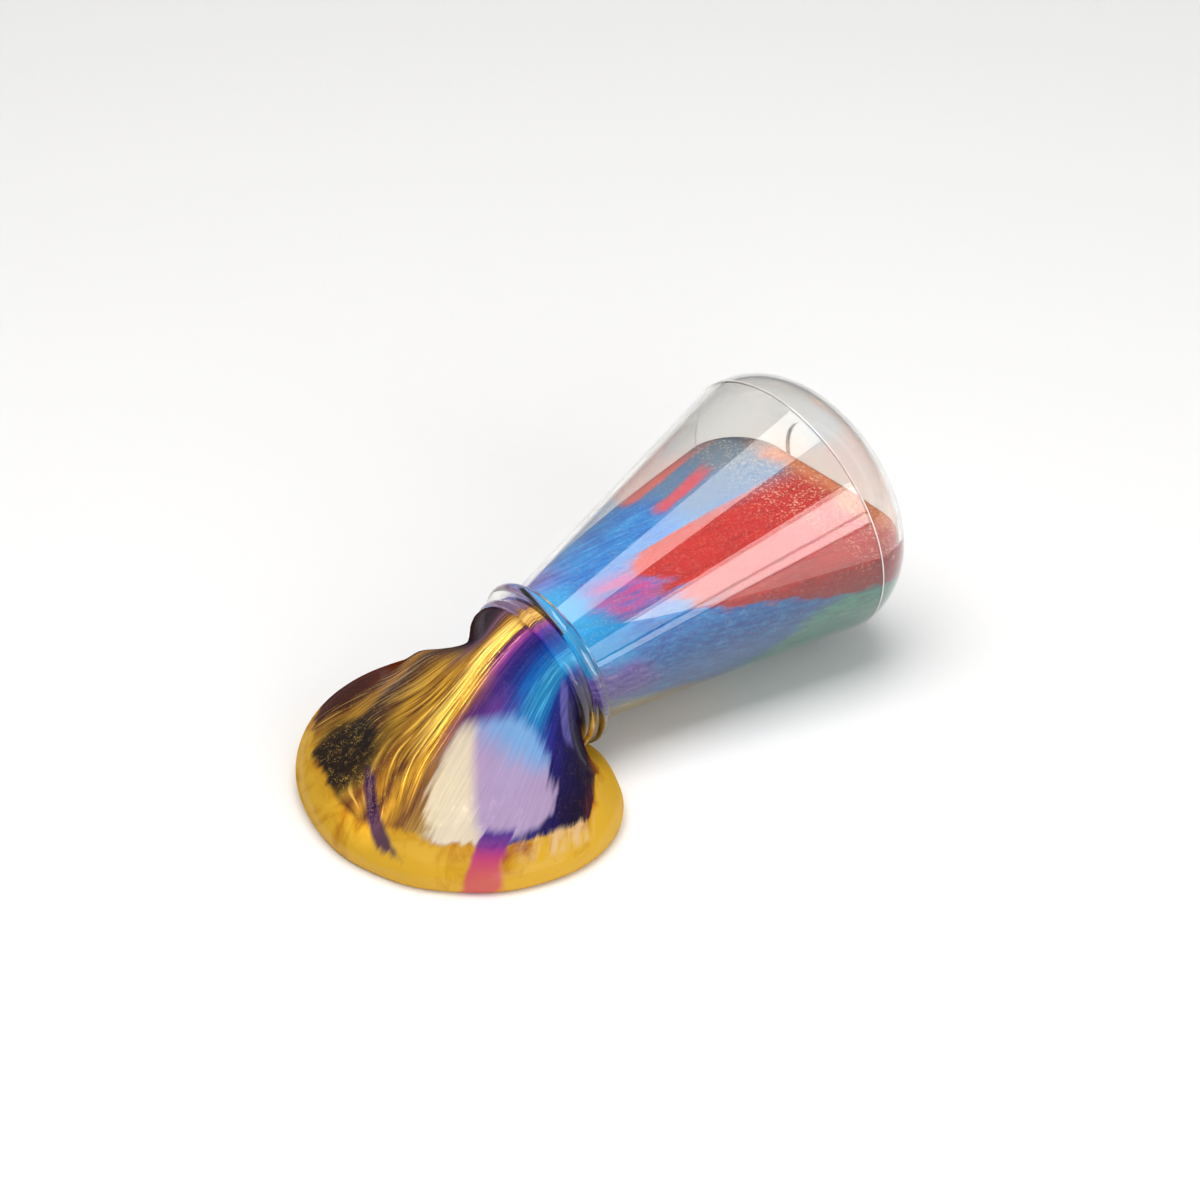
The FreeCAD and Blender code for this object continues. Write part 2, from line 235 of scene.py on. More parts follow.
# %% Sizes of the jar, in millimetres
WALL = 1.3
THROAT = 17.1
NECK = 18.6
LIP, LIP_WIDTH = 20.1, 2.8
COLLAR, COLLAR_ALONG, COLLAR_WIDTH = 22.0, 6.1, 3.2
CONE_START, CONE_ALONG = 18.3, 7.5
SEAM, SEAM_ALONG = 35.0, 84.0
FOOT_ALONG = 100.0

# %% Cone and neck
collar_front = COLLAR_ALONG - COLLAR_WIDTH / 2
collar_back = COLLAR_ALONG + COLLAR_WIDTH / 2
cone_wire = outline_wire([
    (THROAT, 0, 0.5),
    (LIP, 0, 1.35),
    (LIP, LIP_WIDTH, 1.35),
    (NECK, LIP_WIDTH, 0.3),
    (NECK, collar_front, 0.3),
    (COLLAR, collar_front, 1.55),
    (COLLAR, collar_back, 1.55),
    (CONE_START, collar_back, 0.4),
    (SEAM, SEAM_ALONG, 0.12),
    (SEAM - WALL, SEAM_ALONG, 0),
    (THROAT, CONE_ALONG, 2.0),
], closed=True)
jar_wall = object_from("jar_wall", spun(cone_wire), LYING)
print("jar wall", len(jar_wall.data.polygons), "faces")

# %% Base cup
DISH, DISH_WIDTH, DISH_DEPTH = 15.0, 1.2, 0.5
cup_wire = outline_wire([
    (0, FOOT_ALONG - DISH_DEPTH, 0),
    (DISH, FOOT_ALONG - DISH_DEPTH, 0.6),
    (DISH + DISH_WIDTH, FOOT_ALONG, 0.5),
    (SEAM, FOOT_ALONG, 15.7),
    (SEAM, SEAM_ALONG - 0.04, 0),
    (SEAM - WALL, SEAM_ALONG - 0.04, 0),
    (SEAM - WALL, FOOT_ALONG - WALL, 14.3),
    (0, FOOT_ALONG - WALL, 0),
], closed=False)
cup_wall = object_from("cup_wall", spun(cup_wire), LYING)
print("cup wall", len(cup_wall.data.polygons), "faces")

# %% [markdown]
# The cone and the cup are welded at the seam. The weld squeezes out as a fine bead all the
# way round, and its pale colour is a painted highlight: what one sees of the joint is a thin light
# line.

# %% Weld bead
BEAD_RADIUS = 0.16
bead_wire = bmesh.new()
bmesh.ops.create_circle(bead_wire, segments=12, radius=BEAD_RADIUS * MM)
bmesh.ops.rotate(bead_wire, verts=bead_wire.verts, matrix=Matrix.Rotation(math.pi / 2, 3, "X"))
bmesh.ops.translate(bead_wire, verts=bead_wire.verts,
                    vec=((SEAM - BEAD_RADIUS / 2) * MM, 0, SEAM_ALONG * MM))
bead = object_from("weld_bead", spun(bead_wire), LYING)
print("weld bead", len(bead.data.polygons), "faces")

# %% [markdown]
# ## Slime in the jar
#
# The slime fills the jar up to a level, so its body is the jar's inside, spun from an outline,
# then cut by a level plane. It wets the plastic, so its skin reaches a hair into the wall: light
# that comes through the wall meets slime at once, with no film of air to mirror it. The neck is
# left out here, because the slime that pours out fills it.

# %% The filling
SLIME_LEVEL = 36.5
WETTING = 0.06
MENISCUS, MENISCUS_WIDTH = 0.4, 0.7
NECK_PLUG = 7.3
filling_wire = outline_wire([
    (0, NECK_PLUG, 0),
    (THROAT + WETTING, NECK_PLUG, 0),
    (SEAM - WALL + WETTING, SEAM_ALONG, 0),
    (SEAM - WALL + WETTING, FOOT_ALONG - WALL + WETTING, 14.3),
    (0, FOOT_ALONG - WALL + WETTING, 0),
], closed=False)
filling_skin = spun(filling_wire, 160)
bmesh.ops.transform(filling_skin, matrix=LYING, verts=filling_skin.verts)
cut_height = SLIME_LEVEL * MM
cut = bmesh.ops.bisect_plane(filling_skin, geom=filling_skin.verts[:] + filling_skin.edges[:]
                             + filling_skin.faces[:], plane_co=(0, 0, cut_height),
                             plane_no=(0, 0, 1), clear_outer=True)
rim = [piece for piece in cut["geom_cut"] if isinstance(piece, bmesh.types.BMEdge)]
surface = bmesh.ops.contextual_create(filling_skin, geom=rim)["faces"]
bmesh.ops.inset_region(filling_skin, faces=surface, thickness=MENISCUS_WIDTH * MM)
for vertex in {vertex for face in surface for vertex in face.verts}:
    vertex.co.z -= MENISCUS * MM
for face in filling_skin.faces:
    face.smooth = True
filling = object_from("slime_filling", filling_skin)
print("filling", len(filling.data.polygons), "faces")

# %% [markdown]
# ## Slime on the table
#
# The slime outside is one soft skin: a tube that fills the neck, bends down at the lip and opens
# into the puddle, like the bell of a horn. It starts as one ring in the neck. The ring is extruded
# again and again, and every new ring is moved to its place on the way from the mouth to the
# puddle's edge. The position round the ring and the distance along the flow become the UV map,
# so streaks of colour can follow the flow. Inside the neck the distance is below zero.

# %% The shape of the spill
RING_POINTS = 240
FLOW_RINGS = 64
UNDER_RINGS = 8
PUDDLE_MIDDLE = Vector((-26.0, -3.5, 0))
PUDDLE_REACH = ((-165, 35.6), (-135, 37.8), (-105, 40.6), (-80, 43.0), (-60, 42.6), (-35, 38.2),
                (-12, 37.6), (15, 30.0), (45, 36.0), (75, 42.0), (95, 43.0), (115, 40.6),
                (135, 37.0), (160, 35.0))
REACH_BLEND = math.radians(19)
EDGE_WIDE, SIDE_WIDE = 7.5, 16.0
EDGE_CREST, SIDE_CREST, BACK_CREST = 7.2, 11.0, 3.8
PINCH = 6.5
EDGE_WAIST, EDGE_UNDERCUT = 3.4, 1.6
MOUTH_RING = 19.3
NECK_START = NECK_PLUG + 0.1
NECK_RINGS = ((THROAT + WETTING, 3.6), (THROAT + WETTING, 0.5), (17.5, 0), (18.7, -0.04))
NECK_FLOW = 60


def jar_point(radius, turn, along):
    """A point by the jar: radius from its axis, turn from its top towards +Y, place along it."""
    outward = UPWARD * math.cos(turn) + SIDEWAYS * math.sin(turn)
    return (MOUTH + AXIS * along * MM + outward * radius * MM) / MM


def puddle_edge(turn):
    """The point of the puddle's edge that the flow from this turn of the mouth reaches."""
    heading = math.pi - turn
    total = weight = 0
    for place, reach in PUDDLE_REACH:
        away = math.remainder(heading - math.radians(place), 2 * math.pi)
        share = math.exp(-(away / REACH_BLEND) ** 2)
        total += share * reach
        weight += share
    return PUDDLE_MIDDLE + Vector((math.cos(heading), math.sin(heading), 0)) * total / weight


def ease(value):
    """A smooth step from 0 to 1."""
    return 0.5 - 0.5 * math.cos(math.pi * min(max(value, 0), 1))


def spill_point(turn, share):
    """Where the skin is, on its way from the lip (share 0) to the puddle's edge (share 1)."""
    start = jar_point(MOUTH_RING, turn, -0.3)
    edge = puddle_edge(turn)
    foot_of_start = Vector((start.x, start.y, 0))
    run = (edge - foot_of_start).length
    place = foot_of_start.lerp(edge, share)
    pinch = ease(share / 0.16) * (1 - ease((share - 0.14) / 0.22)) * max(math.sin(turn), 0)
    place.y -= PINCH * pinch
    side = ease((abs(math.degrees(turn)) - 15) / 60)
    wide = min(EDGE_WIDE + (SIDE_WIDE - EDGE_WIDE) * side, run)
    crest = EDGE_CREST + (SIDE_CREST - EDGE_CREST) * side + BACK_CREST * max(math.sin(turn), 0)
    crest = min(crest, start.z * 0.6 + 2.2)
    waist = min(EDGE_WAIST, crest * 0.5)
    bulge = math.sqrt(1 - (1 - min((1 - share) * run / wide, 1)) ** 2)
    straight = 0.3 * (1 - side)
    fall = (1 - straight) * math.cos(math.pi / 2 * share) ** (1.8 + 1.8 * side)
    fall = (fall + straight * (1 - share)) * (1 - 0.2 * pinch)
    place.z = waist + (crest - waist) * bulge + (start.z - crest) * fall
    return place


def undercut_point(turn, share):
    """Where the skin is under the puddle's edge, from its widest line to the table."""
    edge = spill_point(turn, 1)
    inward = (PUDDLE_MIDDLE - Vector((edge.x, edge.y, 0))).normalized()
    place = edge + inward * EDGE_UNDERCUT * (1 - math.cos(math.pi / 2 * share))
    place.z = edge.z * (1 - math.sin(math.pi / 2 * share))
    return place


# %% Growing the skin ring by ring
def grow(skin, ring, places):
    """Extrude a ring of vertices and move the new ring to its places, in millimetres."""
    edges = [skin.edges.get((ring[index - 1], ring[index])) for index in range(len(ring))]
    made = bmesh.ops.extrude_edge_only(skin, edges=edges)["geom"]
    fresh = {item for item in made if isinstance(item, bmesh.types.BMVert)}
    following = []
    for vertex, place in zip(ring, places):
        child = next(edge.other_vert(vertex) for edge in vertex.link_edges
                     if edge.other_vert(vertex) in fresh)
        child.co = place * MM
        following.append(child)
    return following


def close_ends(skin, rings):
    """Put a face on each of these rings, and turn all faces outwards."""
    for ring in rings:
        edges = [skin.edges.get((ring[index - 1], ring[index])) for index in range(len(ring))]
        bmesh.ops.contextual_create(skin, geom=edges)
    bmesh.ops.recalc_face_normals(skin, faces=skin.faces)


spill_skin = bmesh.new()
first = bmesh.ops.create_circle(spill_skin, segments=RING_POINTS, radius=MM)["verts"]
shares = [(index + 0.5) / RING_POINTS for index in range(RING_POINTS)]
turns = [2 * math.pi * (share - 0.5) for share in shares]
flow_of = {}


def note_flow(ring, flow):
    """Remember how far the flow has run at each vertex of a ring, and where round the mouth."""
    for vertex, share in zip(ring, shares):
        flow_of[vertex] = (share, flow)


for vertex, turn in zip(first, turns):
    vertex.co = jar_point(THROAT + WETTING, turn, NECK_START) * MM
note_flow(first, -0.12)
ring = first
for radius, along in NECK_RINGS:
    ring = grow(spill_skin, ring, [jar_point(radius, turn, along) for turn in turns])
    note_flow(ring, -along / NECK_FLOW)
for step in range(FLOW_RINGS + 1):
    share = math.sin(math.pi / 2 * step / FLOW_RINGS)
    ring = grow(spill_skin, ring, [spill_point(turn, share) for turn in turns])
    note_flow(ring, share)
for step in range(1, UNDER_RINGS + 1):
    share = step / UNDER_RINGS
    ring = grow(spill_skin, ring, [undercut_point(turn, share) for turn in turns])
    note_flow(ring, 1 + 0.1 * share)
under = PUDDLE_MIDDLE + Vector((4, 0, 0))
for share in (0.8, 0.4, 0.1):
    places = [under.lerp(undercut_point(turn, 1), share) for turn in turns]
    ring = grow(spill_skin, ring, places)
    note_flow(ring, 1.1)
close_ends(spill_skin, (ring, first))

# %% The flow map of the spill
flow_map = spill_skin.loops.layers.uv.new("flow")
for face in spill_skin.faces:
    face.smooth = True
    across_seam = max(flow_of[corner.vert][0] for corner in face.loops) > 0.9
    for corner in face.loops:
        turn_share, flow = flow_of[corner.vert]
        if across_seam and turn_share < 0.1:
            turn_share += 1
        corner[flow_map].uv = (turn_share, flow)
spill = object_from("slime_spill", spill_skin)
print("spill", len(spill.data.polygons), "faces")

# %% [markdown]
# A little gold slime has crept along the groove between the two rings of the neck, and a thread
# of it has been pulled over the lip. Both are short fat lines, grown ring by ring in the same way:
# a smooth line through a few points gives each ring its centre and its thickness.

# %% Drip on the neck
GROOVE_DRIP = ((19.1, -98, 3.7, 0.2), (19.5, -110, 3.7, 0.7), (19.7, -123, 3.8, 1.0),
               (19.8, -134, 4.0, 1.15), (19.5, -147, 3.8, 0.7), (19.1, -160, 3.6, 0.2))
LIP_THREAD = ((20.0, -135, 3.9, 0.9), (20.7, -131, 2.8, 0.5), (21.0, -127, 1.3, 0.4),
              (21.6, -122, -0.2, 0.45), (22.4, -117, -1.7, 0.8))
THREAD_STEPS = 12
THREAD_SIDES = 14


def smooth_line(points):
    """Places on a smooth line from the first point to the last, which bends towards the rest."""
    middles = [(here + there) / 2 for here, there in zip(points[1:], points[2:-1])]
    starts, ends = [points[0], *middles], [*middles, points[-1]]
    places = [start.lerp(bend, step / THREAD_STEPS).lerp(bend.lerp(end, step / THREAD_STEPS),
                                                         step / THREAD_STEPS)
              for start, bend, end in zip(starts, points[1:-1], ends)
              for step in range(THREAD_STEPS)]
    return [*places, points[-1]]


def thread(skin, corners):
    """Grow a tube along a line through (radius, turn, along, thickness) points by the jar."""
    line = smooth_line([Vector((*jar_point(radius, math.radians(turn), along), thickness))
                        for radius, turn, along, thickness in corners])
    rings = []
    for index, place in enumerate(line):
        ahead, behind = line[min(index + 1, len(line) - 1)], line[max(index - 1, 0)]
        across = (ahead - behind).xyz.cross(AXIS).normalized()
        over = (ahead - behind).xyz.cross(across).normalized()
        angles = [2 * math.pi * side / THREAD_SIDES for side in range(THREAD_SIDES)]
        spots = [place.xyz + (across * math.cos(angle) + over * math.sin(angle)) * place.w
                 for angle in angles]
        if rings:
            rings.append(grow(skin, rings[-1], spots))
        else:
            rings.append(bmesh.ops.create_circle(skin, segments=THREAD_SIDES, radius=MM)["verts"])
            for vertex, spot in zip(rings[0], spots):
                vertex.co = spot * MM
    close_ends(skin, (rings[0], rings[-1]))


drip_builder = bmesh.new()
for corners in (GROOVE_DRIP, LIP_THREAD):
    thread(drip_builder, corners)
for face in drip_builder.faces:
    face.smooth = True
drip = object_from("slime_drip", drip_builder)
print("drip", len(drip.data.polygons), "faces")

# %% [markdown]
# ## Mixing materials
#
# A finish is a recipe of shader nodes. To keep the recipes readable, their maths is written as
# sums. A small class holds one socket of the shader and knows how to add, subtract and multiply:
# each sum adds its Math node. Every other node comes from one method of the recipe.

# %% Shader values that can be used in sums
class Amount:
    """A value at one output socket of a recipe's nodes."""

    def __init__(self, recipe, socket):
        self.recipe = recipe
        self.socket = socket

    def math(self, operation, *parts):
        return self.recipe.node("ShaderNodeMath", {"operation": operation},
                                dict(enumerate(parts)))

    def __add__(self, other):
        return self.math("ADD", self, other)

    def __sub__(self, other):
        return self.math("SUBTRACT", self, other)

    def __rsub__(self, other):
        return self.math("SUBTRACT", other, self)

    def __mul__(self, other):
        return self.math("MULTIPLY", self, other)

    def __truediv__(self, other):
        return self.math("DIVIDE", self, other)

    def __pow__(self, power):
        return self.math("POWER", self, power)

    def __abs__(self):
        return self.math("ABSOLUTE", self)

    __radd__ = __add__
    __rmul__ = __mul__

    def rise(self, start, end):
        """0 before start, 1 after end, and smooth between them; start may be the larger one."""
        return self.recipe.node("ShaderNodeMapRange", {"interpolation_type": "SMOOTHSTEP"},
                                {"Value": self, "From Min": start, "From Max": end})

    def between(self, start, end, soft):
        """1 between start and end, and 0 outside, with soft flanks."""
        return self.rise(start - soft, start + soft) * self.rise(end + soft, end - soft)


class Recipe:
    """A material in the making: its nodes, and its shader with the constants already set."""

    def __init__(self, name, **constants):
        self.material = bpy.data.materials.new(name)
        self.material.use_nodes = True
        self.nodes = self.material.node_tree.nodes
        self.shader = self.nodes["Principled BSDF"]
        for socket, value in constants.items():
            self.shader.inputs[socket.replace("_", " ")].default_value = value

    def node(self, kind, settings=None, inputs=None, output=0):
        made = self.nodes.new(kind)
        for name, value in (settings or {}).items():
            if name == "stops":
                while len(made.color_ramp.elements) < len(value):
                    made.color_ramp.elements.new(1)
                for element, (position, colour) in zip(made.color_ramp.elements, value):
                    element.position = position
                    element.color = colour
            else:
                setattr(made, name, value)
        for socket, value in (inputs or {}).items():
            self.plug(made.inputs[socket], value)
        return Amount(self, made.outputs[output])

    def plug(self, socket, value):
        if isinstance(value, Amount):
            self.material.node_tree.links.new(value.socket, socket)
        else:
            socket.default_value = value

    def axes(self, vector):
        return [self.node("ShaderNodeSeparateXYZ", None, {0: vector}, axis) for axis in range(3)]

    def point(self, *parts):
        return self.node("ShaderNodeCombineXYZ", None, dict(enumerate(parts)))

    def noise(self, vector, scale=1.0, detail=4.0, roughness=0.55, distortion=0.0):
        return self.node("ShaderNodeTexNoise", None, {
            "Vector": vector, "Scale": scale, "Detail": detail, "Roughness": roughness,
            "Distortion": distortion})

    def ramp(self, position, stops):
        return self.node("ShaderNodeValToRGB", {"stops": stops}, {0: position})

    def blend(self, share, first, second, kind="MIX"):
        return self.node("ShaderNodeMix", {"data_type": "RGBA", "blend_type": kind},
                         {0: share, 6: first, 7: second}, 2)

    def flakes(self, vector, scale):
        """A number from 0 to 1 for each small cell of a fine crystal pattern."""
        cells = self.node("ShaderNodeTexVoronoi", None, {"Vector": vector, "Scale": scale}, 1)
        return self.axes(cells)[0]

    def bump(self, height, strength, distance):
        return self.node("ShaderNodeBump", None, {
            "Height": height, "Strength": strength, "Distance": distance})

    def finish(self, **links):
        """Plug what varies into the shader, and give the finished material."""
        for socket, value in links.items():
            self.plug(self.shader.inputs[socket.replace("_", " ")], value)
        return self.material


def tint(code):
    """A colour with an alpha of 1, from its six-digit web code."""
    parts = [int(code[start:start + 2], 16) / 255 for start in (0, 2, 4)]
    return (*[part / 12.92 if part < 0.0405 else ((part + 0.055) / 1.055) ** 2.4
              for part in parts], 1.0)


# %% [markdown]
# ### Clear plastic
#
# Clear moulded plastic is never perfect. It is a touch warm and grey where one looks along the
# wall, handling leaves faint smudges, and the moulding leaves a slow ripple. The smudges vary
# the roughness, and the ripple is a very weak bump.

# %% Clear plastic
def clear_plastic(name, ripple_scale):
    recipe = Recipe(name, IOR=1.5, Transmission_Weight=1.0, Coat_Weight=1.0, Coat_IOR=1.5,
                    Coat_Roughness=0.015)
    place = recipe.node("ShaderNodeTexCoord", output=3)
    smudges = recipe.noise(place, 55, 5, 0.6).rise(0.45, 0.75)
    haze = recipe.noise(place, 16, 3)
    colour = recipe.blend(haze, tint("fefdfa"), tint("faf8f3"))
    ripple = recipe.noise(place, ripple_scale, 1)
    return recipe.finish(Base_Color=colour, Roughness=0.012 + smudges * 0.03,
                         Normal=recipe.bump(ripple, 0.12, 0.0004))


# %% [markdown]
# ### Slime in the jar
#
# The colours were filled one on another with the jar upright: gold, violet, blue, green, red.
# When the jar was tipped they sheared into long tongues. Each colour is a region of space,
# bounded by slanted planes, in millimetres from the frame's origin. Noise that is stretched
# along the jar wobbles the boundaries, so the colours lick into one another. The bright cards
# shine on the slime through the plastic, so all its colours are mixed a little deeper at the end.

# %% Slime in the jar
DEEPER = 0.28


def slime_in_jar(name):
    recipe = Recipe(name, Specular_IOR_Level=0.0)
    place = recipe.node("ShaderNodeTexCoord", output=3)
    x, y, z = [axis * 1000 for axis in recipe.axes(place)]
    drift = recipe.noise(recipe.point(x * 0.035, y * 0.10, z * 0.10), 1, 3) - 0.5
    lick = recipe.noise(recipe.point(x * 0.10, y * 0.35, z * 0.35 + 9), 1, 5, 0.6) - 0.5
    silk = recipe.noise(recipe.point(x * 0.12, y * 1.1, z * 1.1), 1, 5, 0.65)
    x_wavy = x + drift * 14 + lick * 9
    z_wavy = z + drift * 5 + lick * 6

    blue = recipe.ramp(silk, [(0.25, tint("0a3f92")), (0.45, tint("1464b0")),
                              (0.6, tint("2480c4")), (0.75, tint("60acd8"))])
    far_side = y.rise(4, 13)
    cyan = recipe.blend(x_wavy.rise(22, 10) * far_side.rise(1, 0), blue, tint("2090cc"))
    violet = recipe.ramp(silk, [(0.3, tint("3f2f8c")), (0.55, tint("7560b4")),
                                (0.75, tint("a98fc8"))])
    neck_violet = x_wavy.rise(27, 17) * z_wavy.between(18, 27, 2)
    purple_bands = x_wavy.between(18, 34, 4) * y.between(-14, 2, 3) * z.rise(33, 35)
    surface_violet = x_wavy.rise(26, 12) * far_side * z.rise(30, 34)
    colour = recipe.blend(neck_violet, cyan, violet)
    colour = recipe.blend(surface_violet * 0.8, colour, violet)
    colour = recipe.blend(purple_bands * silk.rise(0.3, 0.6), colour, tint("a8357e"))

    red = recipe.ramp(silk, [(0.25, tint("7a060c")), (0.45, tint("a60e0a")),
                             (0.62, tint("b01a10")), (0.8, tint("be3e30"))])
    red_floor = z_wavy - 35 + (x - 40) * 0.175
    red_start = 33 + far_side * 70
    in_red = red_floor.rise(-0.9, 0.9) * (x_wavy - red_start).rise(-4, 4)
    colour = recipe.blend(in_red, colour, red)
    slate = x_wavy.rise(52, 66) * far_side * z.rise(33, 35)
    colour = recipe.blend(slate * 0.75, colour, tint("5c7690"))
    wall_red = x_wavy.rise(50, 57) * (y - x * 0.23 + drift * 4 - 12.4).rise(-0.8, 0.8)
    inner_red = (x_wavy.between(55, 78, 3)
                 * (y - x * 0.33 + drift * 4 + 1.2).between(-2.4, 1.6, 1))
    colour = recipe.blend(wall_red * z.rise(33, 35) * 0.9, colour, tint("d4604c"))
    colour = recipe.blend(inner_red * z.rise(33, 35) * 0.85, colour, tint("c83c40"))
    orange = (x_wavy.rise(90, 97) * z.rise(31, 34))
    colour = recipe.blend(orange, colour, tint("c9764e"))

    green = recipe.ramp(silk, [(0.3, tint("2f8c62")), (0.55, tint("58b088")),
                               (0.75, tint("9ccfa4"))])
    green_start = x_wavy - 50 - (z - 14) * 1.5
    in_green = green_start.rise(-5, 6) * red_floor.rise(0.9, -0.9) * (z - 30.5).rise(2, -2)
    colour = recipe.blend(in_green * 0.85, colour, green)
    gold = recipe.ramp(silk, [(0.3, tint("8f7a2c")), (0.55, tint("c9ae48")),
                              (0.75, tint("e4d58c"))])
    gold_top = z_wavy - 19 + x * 0.17
    colour = recipe.blend(gold_top.rise(2.5, -2.5) * x_wavy.rise(56, 44), colour, gold)

    flake = recipe.flakes(place, 2600).rise(0.82, 0.95)
    speckled = x_wavy.rise(70, 84) * z.rise(33, 35)
    grey_tip = speckled * y.rise(18, 24)
    colour = recipe.blend(grey_tip * 0.7, colour, tint("6f7c88"))
    colour = recipe.blend(flake * (0.12 + speckled * 0.5), colour, tint("f0dcc0"))
    colour = recipe.blend(DEEPER, colour, tint("000000"))
    relief = silk + flake * 0.3
    return recipe.finish(Base_Color=colour, Roughness=0.3 + silk * 0.15,
                         Metallic=flake * 0.3, Normal=recipe.bump(relief, 0.15, 0.0003))


# %% [markdown]
# ### Poured slime
#
# Outside the jar the colours follow the flow: they leave the lip side by side and fan out over
# the puddle. So their pattern reads the flow map: how far round the mouth a point's flow began,
# here as a turn in degrees from the top of the mouth, and how far it has run, from 0 to 1.
# Three ramps give the order of the colours round the mouth: near the lip, halfway, and out in the
# puddle. Long thin noise draws the silky threads, and patches of colour are laid over them. Some
# patches are painted light: a pale patch of painted reflection on the fall, a violet painted
# reflection below the lip, and cream streaks by the rim that are partly a painted highlight. The
# clear coat fades where one looks along the surface, because there it would hide the colours.

# %% Poured slime
LIP_COLOURS = (
    (-180, "c8963a"), (-122, "b4822e"), (-108, "2a1626"), (-88, "180e34"), (-76, "20185a"),
    (-66, "20227c"), (-61, "1a3a96"), (-57, "1880c0"), (-50, "34a0d8"), (-42, "146cba"),
    (-34, "0f3f98"), (-27, "1e1c7c"), (-21, "4c2488"), (-17, "94388c"), (-12, "3c1430"),
    (-9, "d09838"), (-4, "ecc068"), (1, "c08430"), (5, "6c4038"), (10, "8c6074"),
    (14, "4c3444"), (22, "342030"), (45, "3c2028"), (70, "4c2418"), (95, "4c2014"),
    (180, "a07028"))
FALL_COLOURS = (
    (-180, "b88428"), (-125, "cc9024"), (-114, "8a4a24"), (-106, "281428"), (-92, "1c123c"),
    (-80, "1e1854"), (-73, "241f74"), (-66, "34349a"), (-56, "2c80c8"), (-47, "3478c0"),
    (-39, "4a48a4"), (-31, "6c3c98"), (-24, "502478"), (-19, "8c4c60"), (-14, "c48c2c"),
    (-6, "ecc058"), (-1, "8c5c24"), (3, "d49c2c"), (9, "a06824"), (15, "d8a030"),
    (24, "8a5420"), (31, "542818"), (38, "4c2414"), (46, "b87818"), (51, "a8641c"),
    (58, "5c2010"), (70, "743012"), (90, "602810"), (180, "a07028"))
PUDDLE_COLOURS = (
    (-180, "cc9a28"), (-112, "d09c28"), (-104, "502430"), (-96, "1c0e2c"), (-84, "201448"),
    (-76, "20186c"), (-69, "383890"), (-60, "5c4ca0"), (-50, "7464ac"), (-42, "a088b0"),
    (-34, "ccb488"), (-26, "c09040"), (-20, "84502c"), (-13, "d49a2c"), (-7, "704024"),
    (-2, "cc9028"), (4, "784420"), (10, "a87c28"), (18, "3c2418"), (38, "40261a"),
    (44, "c89024"), (50, "b8801c"), (57, "4c1810"), (76, "4c160c"), (92, "7c3010"),
    (180, "b08020"))


def by_turn(colours):
    """Ramp stops from colours that are placed by their turn round the mouth."""
    return [(turn / 360 + 0.5, tint(code)) for turn, code in colours]


